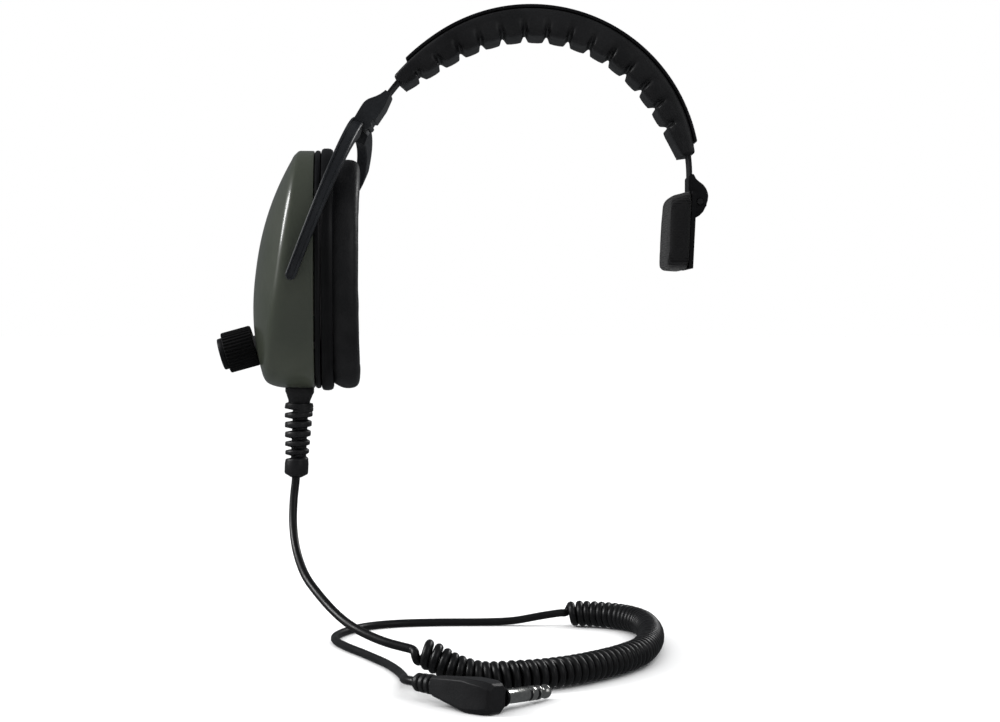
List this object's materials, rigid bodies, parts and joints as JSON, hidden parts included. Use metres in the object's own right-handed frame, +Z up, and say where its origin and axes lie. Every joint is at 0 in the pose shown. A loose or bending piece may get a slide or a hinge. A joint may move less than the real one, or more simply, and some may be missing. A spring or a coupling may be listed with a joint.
{
  "type": "radio headphones",
  "caption": "Single-ear radio headphones: oval cup with volume knob, forked yoke, padded spring headband, temple pad and coiled cord with right-angle jack.",
  "frame": {"origin": "middle of the ear cushion's face, where the wearer's ear is", "axes": "+X through the head from the ear cushion to the temple pad, +Y to the back of the head, +Z up"},
  "size_m": [0.2345, 0.2328, 0.3118],
  "materials": {
    "shell_olive": "gloss",
    "plastic_black": "satin",
    "rubber_black": "matte",
    "cord_black": "satin",
    "cushion_vinyl": "satin",
    "temple_fabric": "matte",
    "foam_grey": "matte",
    "band_metal": "satin",
    "steel": "satin",
    "nickel": "polished",
    "brass": "satin",
    "board_green": "matte",
    "cone_paper": "matte"
  },
  "bodies": {
    "ear_cup": {"cup_shell": "shell_olive", "rim_ring": "plastic_black", "cushion_seat": "plastic_black", "baffle_plate": "plastic_black", "baffle_screw_1": "steel", "baffle_screw_2": "steel", "baffle_screw_3": "steel", "baffle_screw_4": "steel", "speaker_frame": "steel", "speaker_magnet": "steel", "speaker_cone": "cone_paper", "speaker_grille": "plastic_black", "speaker_foam": "foam_grey", "ear_cushion": "cushion_vinyl", "potentiometer_body": "steel", "potentiometer_nut": "brass", "strain_relief": "rubber_black", "pivot_pin_front": "steel", "pivot_pin_back": "steel", "terminal_board": "board_green", "cord_lead": "cord_black", "cord_coil": "cord_black", "cord_tail": "cord_black", "plug_boot": "rubber_black", "plug_body": "rubber_black", "plug_collar": "nickel", "plug_sleeve": "nickel", "plug_insulator_1": "plastic_black", "plug_ring": "nickel", "plug_insulator_2": "plastic_black", "plug_tip": "nickel"},
    "volume_control": {"volume_knob": "plastic_black", "knob_cap": "plastic_black", "volume_shaft": "steel"},
    "yoke": {"yoke_fork": "plastic_black"},
    "headband": {"band_spring": "band_metal", "headband_pad": "rubber_black", "headband_cover": "plastic_black", "band_stop": "steel"},
    "temple_carriage": {"temple_slider": "plastic_black", "temple_pin": "steel"},
    "temple_pad": {"temple_plate": "plastic_black", "temple_foam": "temple_fabric"}
  },
  "joints": [
    {"name": "volume_turn", "type": "hinge", "parent": "ear_cup", "child": "volume_control", "pos_m": [-0.04885, -0.00384, -0.0361], "axis": [-0.9607, -0.0756, -0.2672], "range_deg": [-150, 150]},
    {"name": "yoke_tilt", "type": "hinge", "parent": "ear_cup", "child": "yoke", "pos_m": [-0.0268, -0.00167, -0.0029], "axis": [-0.0175, 0.9998, 0], "range_deg": [-12, 12]},
    {"name": "band_slide", "type": "slide", "parent": "yoke", "child": "headband", "axis": [0.6018, 0, 0.7986], "range_m": [-0.007, 0]},
    {"name": "temple_slide", "type": "slide", "parent": "headband", "child": "temple_carriage", "axis": [0, 0, 1], "range_m": [-0.01, 0.0065]},
    {"name": "temple_tilt", "type": "hinge", "parent": "temple_carriage", "child": "temple_pad", "pos_m": [0.1633, 0, 0.032], "axis": [0, 1, 0], "range_deg": [-8, 8]}
  ]
}
